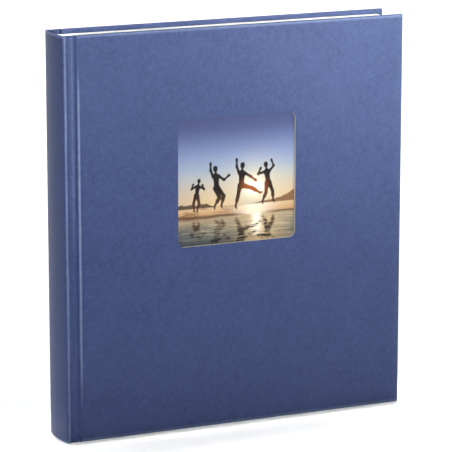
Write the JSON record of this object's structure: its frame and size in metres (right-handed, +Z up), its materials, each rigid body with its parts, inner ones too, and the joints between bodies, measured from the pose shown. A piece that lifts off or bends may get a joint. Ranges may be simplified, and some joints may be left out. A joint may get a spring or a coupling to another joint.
{
  "type": "scrapbook album",
  "caption": "Book-bound scrapbook album standing closed, with hinged paper-covered boards, a square title window in the front cover, a rounded hollow spine and sewn card leaves that fan open.",
  "frame": {"origin": "under the middle of the closed album, on the surface that it stands on", "axes": "+Z up along the spine, front cover faces -Y, spine at -X and fore-edge at +X"},
  "size_m": [0.292, 0.038, 0.32],
  "materials": {
    "cover_paper": "satin slate-blue embossed cover paper with fine fibres",
    "greyboard": "raw grey binder board, cream cut edges",
    "endpaper": "matt white endpaper",
    "page_card": "matt white card",
    "guard_card": "matt white card strip",
    "lining_paper": "brown kraft lining paper",
    "gauze": "starched open-weave cotton gauze",
    "thread": "white sewing thread",
    "title_print": "semi-gloss printed card"
  },
  "bodies": {
    "spine": {"spine_board": "greyboard", "spine_cover_paper": "cover_paper", "section_1_fold": "page_card", "section_2_fold": "page_card", "section_3_fold": "page_card", "section_4_fold": "page_card", "section_5_fold": "page_card", "section_6_fold": "page_card", "section_1_guards": "guard_card", "section_2_guards": "guard_card", "section_3_guards": "guard_card", "section_4_guards": "guard_card", "section_5_guards": "guard_card", "section_6_guards": "guard_card", "sewing_threads": "thread", "spine_gauze": "gauze", "spine_lining": "lining_paper", "front_joint_strip": "cover_paper", "back_joint_strip": "cover_paper", "front_gauze_flange": "gauze", "back_gauze_flange": "gauze", "front_endpaper_fold": "endpaper", "back_endpaper_fold": "endpaper"},
    "front_cover": {"front_board": "greyboard", "front_cover_paper": "cover_paper", "front_board_lining": "lining_paper", "front_pastedown": "endpaper", "title_print": "title_print"},
    "back_cover": {"back_board": "greyboard", "back_cover_paper": "cover_paper", "back_board_lining": "lining_paper", "back_pastedown": "endpaper"},
    "front_flyleaf": {"front_flyleaf": "endpaper"},
    "back_flyleaf": {"back_flyleaf": "endpaper"},
    "leaf_01": {"leaf_01": "page_card"},
    "leaf_02": {"leaf_02": "page_card"},
    "leaf_03": {"leaf_03": "page_card"},
    "leaf_04": {"leaf_04": "page_card"},
    "leaf_05": {"leaf_05": "page_card"},
    "leaf_06": {"leaf_06": "page_card"},
    "leaf_07": {"leaf_07": "page_card"},
    "leaf_08": {"leaf_08": "page_card"},
    "leaf_09": {"leaf_09": "page_card"},
    "leaf_10": {"leaf_10": "page_card"},
    "leaf_11": {"leaf_11": "page_card"},
    "leaf_12": {"leaf_12": "page_card"},
    "leaf_13": {"leaf_13": "page_card"},
    "leaf_14": {"leaf_14": "page_card"},
    "leaf_15": {"leaf_15": "page_card"},
    "leaf_16": {"leaf_16": "page_card"},
    "leaf_17": {"leaf_17": "page_card"},
    "leaf_18": {"leaf_18": "page_card"},
    "leaf_19": {"leaf_19": "page_card"},
    "leaf_20": {"leaf_20": "page_card"},
    "leaf_21": {"leaf_21": "page_card"},
    "leaf_22": {"leaf_22": "page_card"},
    "leaf_23": {"leaf_23": "page_card"},
    "leaf_24": {"leaf_24": "page_card"}
  },
  "joints": [
    {"name": "front_cover_hinge", "type": "hinge", "parent": "spine", "child": "front_cover", "pos_m": [-0.1369, -0.0192, 0.16], "axis": [0, 0, -1], "range_deg": [0, 180], "deforming": ["front_joint_strip", "front_gauze_flange", "front_endpaper_fold"]},
    {"name": "front_flyleaf_turn", "type": "hinge", "parent": "spine", "child": "front_flyleaf", "pos_m": [-0.1294, -0.01547, 0.16], "axis": [0, 0, -1], "range_deg": [0, 135.5]},
    {"name": "back_cover_hinge", "type": "hinge", "parent": "spine", "child": "back_cover", "pos_m": [-0.1369, 0.0192, 0.16], "axis": [0, 0, 1], "range_deg": [0, 180], "deforming": ["back_joint_strip", "back_gauze_flange", "back_endpaper_fold"]},
    {"name": "back_flyleaf_turn", "type": "hinge", "parent": "spine", "child": "back_flyleaf", "pos_m": [-0.1294, 0.01547, 0.16], "axis": [0, 0, 1], "range_deg": [0, 135.5]},
    {"name": "leaf_01_turn", "type": "hinge", "parent": "spine", "child": "leaf_01", "pos_m": [-0.1214, -0.01424, 0.16], "axis": [0, 0, -1], "range_deg": [0, 70.5]},
    {"name": "leaf_02_turn", "type": "hinge", "parent": "spine", "child": "leaf_02", "pos_m": [-0.1214, -0.013, 0.16], "axis": [0, 0, -1], "range_deg": [0, 64.65]},
    {"name": "leaf_03_turn", "type": "hinge", "parent": "spine", "child": "leaf_03", "pos_m": [-0.1214, -0.01176, 0.16], "axis": [0, 0, -1], "range_deg": [0, 58.8]},
    {"name": "leaf_04_turn", "type": "hinge", "parent": "spine", "child": "leaf_04", "pos_m": [-0.1214, -0.01052, 0.16], "axis": [0, 0, -1], "range_deg": [0, 52.95]},
    {"name": "leaf_05_turn", "type": "hinge", "parent": "spine", "child": "leaf_05", "pos_m": [-0.1214, -0.00928, 0.16], "axis": [0, 0, -1], "range_deg": [0, 47.1]},
    {"name": "leaf_06_turn", "type": "hinge", "parent": "spine", "child": "leaf_06", "pos_m": [-0.1214, -0.00805, 0.16], "axis": [0, 0, -1], "range_deg": [0, 41.25]},
    {"name": "leaf_07_turn", "type": "hinge", "parent": "spine", "child": "leaf_07", "pos_m": [-0.1214, -0.00681, 0.16], "axis": [0, 0, -1], "range_deg": [0, 35.4]},
    {"name": "leaf_08_turn", "type": "hinge", "parent": "spine", "child": "leaf_08", "pos_m": [-0.1214, -0.00557, 0.16], "axis": [0, 0, -1], "range_deg": [0, 29.55]},
    {"name": "leaf_09_turn", "type": "hinge", "parent": "spine", "child": "leaf_09", "pos_m": [-0.1214, -0.00433, 0.16], "axis": [0, 0, -1], "range_deg": [0, 23.7]},
    {"name": "leaf_10_turn", "type": "hinge", "parent": "spine", "child": "leaf_10", "pos_m": [-0.1214, -0.0031, 0.16], "axis": [0, 0, -1], "range_deg": [0, 17.85]},
    {"name": "leaf_11_turn", "type": "hinge", "parent": "spine", "child": "leaf_11", "pos_m": [-0.1214, -0.00186, 0.16], "axis": [0, 0, -1], "range_deg": [0, 12]},
    {"name": "leaf_12_turn", "type": "hinge", "parent": "spine", "child": "leaf_12", "pos_m": [-0.1214, -0.00062, 0.16], "axis": [0, 0, -1], "range_deg": [0, 6.15]},
    {"name": "leaf_13_turn", "type": "hinge", "parent": "spine", "child": "leaf_13", "pos_m": [-0.1214, 0.00062, 0.16], "axis": [0, 0, 1], "range_deg": [0, 6.15]},
    {"name": "leaf_14_turn", "type": "hinge", "parent": "spine", "child": "leaf_14", "pos_m": [-0.1214, 0.00186, 0.16], "axis": [0, 0, 1], "range_deg": [0, 12]},
    {"name": "leaf_15_turn", "type": "hinge", "parent": "spine", "child": "leaf_15", "pos_m": [-0.1214, 0.0031, 0.16], "axis": [0, 0, 1], "range_deg": [0, 17.85]},
    {"name": "leaf_16_turn", "type": "hinge", "parent": "spine", "child": "leaf_16", "pos_m": [-0.1214, 0.00433, 0.16], "axis": [0, 0, 1], "range_deg": [0, 23.7]},
    {"name": "leaf_17_turn", "type": "hinge", "parent": "spine", "child": "leaf_17", "pos_m": [-0.1214, 0.00557, 0.16], "axis": [0, 0, 1], "range_deg": [0, 29.55]},
    {"name": "leaf_18_turn", "type": "hinge", "parent": "spine", "child": "leaf_18", "pos_m": [-0.1214, 0.00681, 0.16], "axis": [0, 0, 1], "range_deg": [0, 35.4]},
    {"name": "leaf_19_turn", "type": "hinge", "parent": "spine", "child": "leaf_19", "pos_m": [-0.1214, 0.00805, 0.16], "axis": [0, 0, 1], "range_deg": [0, 41.25]},
    {"name": "leaf_20_turn", "type": "hinge", "parent": "spine", "child": "leaf_20", "pos_m": [-0.1214, 0.00928, 0.16], "axis": [0, 0, 1], "range_deg": [0, 47.1]},
    {"name": "leaf_21_turn", "type": "hinge", "parent": "spine", "child": "leaf_21", "pos_m": [-0.1214, 0.01052, 0.16], "axis": [0, 0, 1], "range_deg": [0, 52.95]},
    {"name": "leaf_22_turn", "type": "hinge", "parent": "spine", "child": "leaf_22", "pos_m": [-0.1214, 0.01176, 0.16], "axis": [0, 0, 1], "range_deg": [0, 58.8]},
    {"name": "leaf_23_turn", "type": "hinge", "parent": "spine", "child": "leaf_23", "pos_m": [-0.1214, 0.013, 0.16], "axis": [0, 0, 1], "range_deg": [0, 64.65]},
    {"name": "leaf_24_turn", "type": "hinge", "parent": "spine", "child": "leaf_24", "pos_m": [-0.1214, 0.01424, 0.16], "axis": [0, 0, 1], "range_deg": [0, 70.5]}
  ],
  "couplings": [
    {"joint": "front_flyleaf_turn", "follows": "front_cover_hinge", "ratio": 0.75},
    {"joint": "back_flyleaf_turn", "follows": "back_cover_hinge", "ratio": 0.75},
    {"joint": "leaf_01_turn", "follows": "front_cover_hinge", "ratio": 0.39},
    {"joint": "leaf_02_turn", "follows": "front_cover_hinge", "ratio": 0.3575},
    {"joint": "leaf_03_turn", "follows": "front_cover_hinge", "ratio": 0.325},
    {"joint": "leaf_04_turn", "follows": "front_cover_hinge", "ratio": 0.2925},
    {"joint": "leaf_05_turn", "follows": "front_cover_hinge", "ratio": 0.26},
    {"joint": "leaf_06_turn", "follows": "front_cover_hinge", "ratio": 0.2275},
    {"joint": "leaf_07_turn", "follows": "front_cover_hinge", "ratio": 0.195},
    {"joint": "leaf_08_turn", "follows": "front_cover_hinge", "ratio": 0.1625},
    {"joint": "leaf_09_turn", "follows": "front_cover_hinge", "ratio": 0.13},
    {"joint": "leaf_10_turn", "follows": "front_cover_hinge", "ratio": 0.0975},
    {"joint": "leaf_11_turn", "follows": "front_cover_hinge", "ratio": 0.065},
    {"joint": "leaf_12_turn", "follows": "front_cover_hinge", "ratio": 0.0325},
    {"joint": "leaf_13_turn", "follows": "back_cover_hinge", "ratio": 0.0325},
    {"joint": "leaf_14_turn", "follows": "back_cover_hinge", "ratio": 0.065},
    {"joint": "leaf_15_turn", "follows": "back_cover_hinge", "ratio": 0.0975},
    {"joint": "leaf_16_turn", "follows": "back_cover_hinge", "ratio": 0.13},
    {"joint": "leaf_17_turn", "follows": "back_cover_hinge", "ratio": 0.1625},
    {"joint": "leaf_18_turn", "follows": "back_cover_hinge", "ratio": 0.195},
    {"joint": "leaf_19_turn", "follows": "back_cover_hinge", "ratio": 0.2275},
    {"joint": "leaf_20_turn", "follows": "back_cover_hinge", "ratio": 0.26},
    {"joint": "leaf_21_turn", "follows": "back_cover_hinge", "ratio": 0.2925},
    {"joint": "leaf_22_turn", "follows": "back_cover_hinge", "ratio": 0.325},
    {"joint": "leaf_23_turn", "follows": "back_cover_hinge", "ratio": 0.3575},
    {"joint": "leaf_24_turn", "follows": "back_cover_hinge", "ratio": 0.39}
  ]
}
